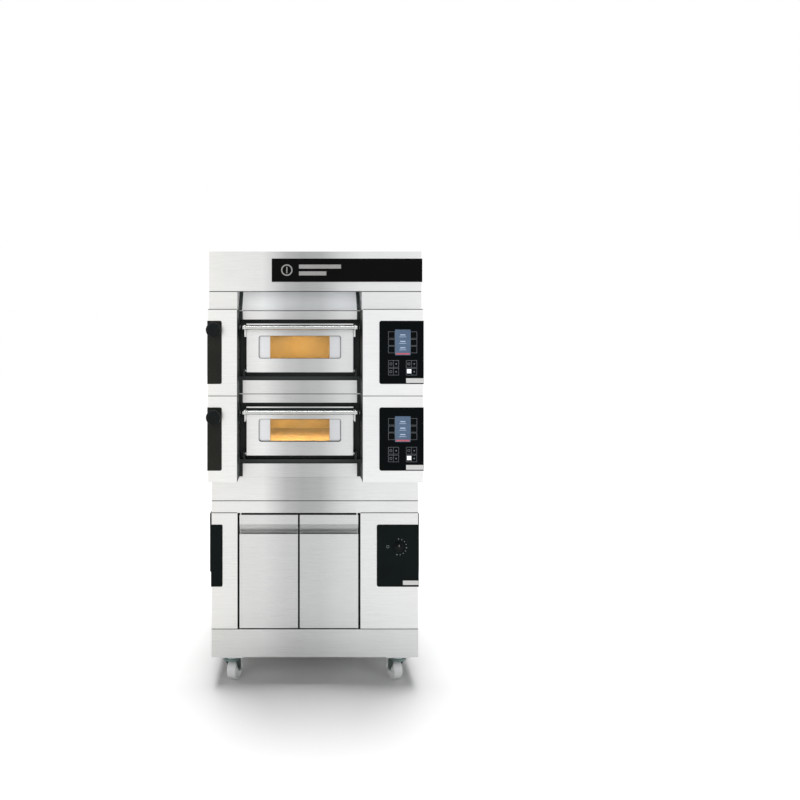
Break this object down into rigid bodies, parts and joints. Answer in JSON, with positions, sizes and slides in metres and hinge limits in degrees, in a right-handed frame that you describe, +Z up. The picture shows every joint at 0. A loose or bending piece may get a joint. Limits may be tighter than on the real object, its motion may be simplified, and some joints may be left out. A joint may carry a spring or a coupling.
{
  "type": "deck oven",
  "caption": "Stacked electric deck oven in stainless steel: extraction hood, drop-door baking decks, spacer and a heated prover on casters.",
  "frame": {"origin": "on the floor, in the middle of the outer box", "axes": "+Z up, -Y towards the front with the doors, +X to the right seen from the front"},
  "size_m": [1.04, 1.095, 2.151],
  "materials": {
    "brushed_steel_skin": "fine level brushing, satin",
    "plain_steel": "mill finish steel",
    "black_trim": "satin black",
    "control_glass": "glossy black touch glass",
    "display": "lit slate blue display",
    "mineral_wool": "loose fibre",
    "element_sheath": "oxidised sheath",
    "lamp_glass": "frosted lens",
    "black_plastic": "moulded, matt",
    "painted_inner": "dark heat-proof coating",
    "hearth_stone": "fired refractory slab",
    "oven_glass": "clear heat-proof glass",
    "chrome_bar": "polished tube",
    "zinc_plate": "zinc plated",
    "nylon": "white nylon"
  },
  "bodies": {
    "root": {"cable_glands": "black_plastic", "caster_plates": "zinc_plate", "chamber_lamps": "lamp_glass", "control_displays": "display", "heating_elements": "element_sheath", "hood_deflector": "brushed_steel_skin", "hood_fan_motor": "painted_inner", "hood_filter": "plain_steel", "hood_flue_collar": "plain_steel", "hood_shell": "brushed_steel_skin", "hood_sign_band": "black_trim", "insulation_wool": "mineral_wool", "left_trim_panels": "black_trim", "lower_baking_chamber": "painted_inner", "lower_casing": "brushed_steel_skin", "lower_control_panel": "control_glass", "lower_front_panels": "brushed_steel_skin", "lower_hearth_stone": "hearth_stone", "lower_left_post": "brushed_steel_skin", "lower_right_post": "brushed_steel_skin", "prover_casing": "brushed_steel_skin", "prover_control_panel": "black_trim", "prover_front_frame": "brushed_steel_skin", "prover_heater": "element_sheath", "prover_plinth": "brushed_steel_skin", "prover_tray_runners": "plain_steel", "prover_water_pan": "plain_steel", "side_covers": "black_trim", "spacer_base": "brushed_steel_skin", "upper_baking_chamber": "painted_inner", "upper_casing": "brushed_steel_skin", "upper_control_panel": "control_glass", "upper_front_panels": "brushed_steel_skin", "upper_hearth_stone": "hearth_stone", "upper_left_post": "brushed_steel_skin", "upper_right_post": "brushed_steel_skin"},
    "upper_door": {"upper_door_panel": "brushed_steel_skin", "upper_door_inner": "plain_steel", "upper_door_glass": "oven_glass", "upper_door_handle": "chrome_bar"},
    "upper_steam_valve": {"upper_steam_knob": "black_plastic"},
    "lower_door": {"lower_door_panel": "brushed_steel_skin", "lower_door_inner": "plain_steel", "lower_door_glass": "oven_glass", "lower_door_handle": "chrome_bar"},
    "lower_steam_valve": {"lower_steam_knob": "black_plastic"},
    "prover_door_left": {"prover_left_door": "brushed_steel_skin"},
    "prover_door_right": {"prover_right_door": "brushed_steel_skin"},
    "thermostat": {"prover_thermostat_knob": "black_plastic"},
    "fan": {"hood_fan_impeller": "plain_steel"},
    "front_left_swivel": {"front_left_caster_fork": "zinc_plate"},
    "front_left_wheel": {"front_left_caster_wheel": "nylon"},
    "front_left_pedal": {"front_left_brake_pedal": "painted_inner"},
    "front_right_swivel": {"front_right_caster_fork": "zinc_plate"},
    "front_right_wheel": {"front_right_caster_wheel": "nylon"},
    "front_right_pedal": {"front_right_brake_pedal": "painted_inner"},
    "rear_left_swivel": {"rear_left_caster_fork": "zinc_plate"},
    "rear_left_wheel": {"rear_left_caster_wheel": "nylon"},
    "rear_right_swivel": {"rear_right_caster_fork": "zinc_plate"},
    "rear_right_wheel": {"rear_right_caster_wheel": "nylon"}
  },
  "joints": [
    {"name": "upper_door_hinge", "type": "hinge", "parent": "root", "child": "upper_door", "pos_m": [-0.0725, -0.352, 1.525], "axis": [1, 0, 0], "range_deg": [0, 90]},
    {"name": "upper_steam_pull", "type": "slide", "parent": "root", "child": "upper_steam_valve", "axis": [0, -1, 0], "range_m": [0, 0.045]},
    {"name": "lower_door_hinge", "type": "hinge", "parent": "root", "child": "lower_door", "pos_m": [-0.0725, -0.352, 1.122], "axis": [1, 0, 0], "range_deg": [0, 90]},
    {"name": "lower_steam_pull", "type": "slide", "parent": "root", "child": "lower_steam_valve", "axis": [0, -1, 0], "range_m": [0, 0.045]},
    {"name": "prover_left_hinge", "type": "hinge", "parent": "root", "child": "prover_door_left", "pos_m": [-0.36, -0.362, 0.555], "axis": [0, 0, -1], "range_deg": [0, 110]},
    {"name": "prover_right_hinge", "type": "hinge", "parent": "root", "child": "prover_door_right", "pos_m": [0.205, -0.362, 0.555], "axis": [0, 0, 1], "range_deg": [0, 110]},
    {"name": "thermostat_turn", "type": "hinge", "parent": "root", "child": "thermostat", "pos_m": [0.405, -0.3825, 0.673], "axis": [0, 1, 0], "range_deg": [0, 270]},
    {"name": "fan_spin", "type": "hinge", "parent": "root", "child": "fan", "pos_m": [0, 0.0565, 2.04], "axis": [0, 0, 1], "continuous": true},
    {"name": "front_left_swivel_turn", "type": "hinge", "parent": "root", "child": "front_left_swivel", "pos_m": [-0.405, -0.3285, 0.12], "axis": [0, 0, 1], "continuous": true},
    {"name": "front_left_wheel_spin", "type": "hinge", "parent": "front_left_swivel", "child": "front_left_wheel", "pos_m": [-0.39511, -0.29807, 0.05], "axis": [0.9511, -0.309, 0], "continuous": true},
    {"name": "front_left_brake_press", "type": "hinge", "parent": "front_left_swivel", "child": "front_left_pedal", "pos_m": [-0.38986, -0.2819, 0.1205], "axis": [-0.9511, 0.309, 0], "range_deg": [0, 12]},
    {"name": "front_right_swivel_turn", "type": "hinge", "parent": "root", "child": "front_right_swivel", "pos_m": [0.405, -0.3285, 0.12], "axis": [0, 0, 1], "continuous": true},
    {"name": "front_right_wheel_spin", "type": "hinge", "parent": "front_right_swivel", "child": "front_right_wheel", "pos_m": [0.39511, -0.29807, 0.05], "axis": [0.9511, 0.309, 0], "continuous": true},
    {"name": "front_right_brake_press", "type": "hinge", "parent": "front_right_swivel", "child": "front_right_pedal", "pos_m": [0.38986, -0.2819, 0.1205], "axis": [-0.9511, -0.309, 0], "range_deg": [0, 12]},
    {"name": "rear_left_swivel_turn", "type": "hinge", "parent": "root", "child": "rear_left_swivel", "pos_m": [-0.405, 0.4515, 0.12], "axis": [0, 0, 1], "continuous": true},
    {"name": "rear_left_wheel_spin", "type": "hinge", "parent": "rear_left_swivel", "child": "rear_left_wheel", "pos_m": [-0.39511, 0.48193, 0.05], "axis": [0.9511, -0.309, 0], "continuous": true},
    {"name": "rear_right_swivel_turn", "type": "hinge", "parent": "root", "child": "rear_right_swivel", "pos_m": [0.405, 0.4515, 0.12], "axis": [0, 0, 1], "continuous": true},
    {"name": "rear_right_wheel_spin", "type": "hinge", "parent": "rear_right_swivel", "child": "rear_right_wheel", "pos_m": [0.39511, 0.48193, 0.05], "axis": [0.9511, 0.309, 0], "continuous": true}
  ]
}
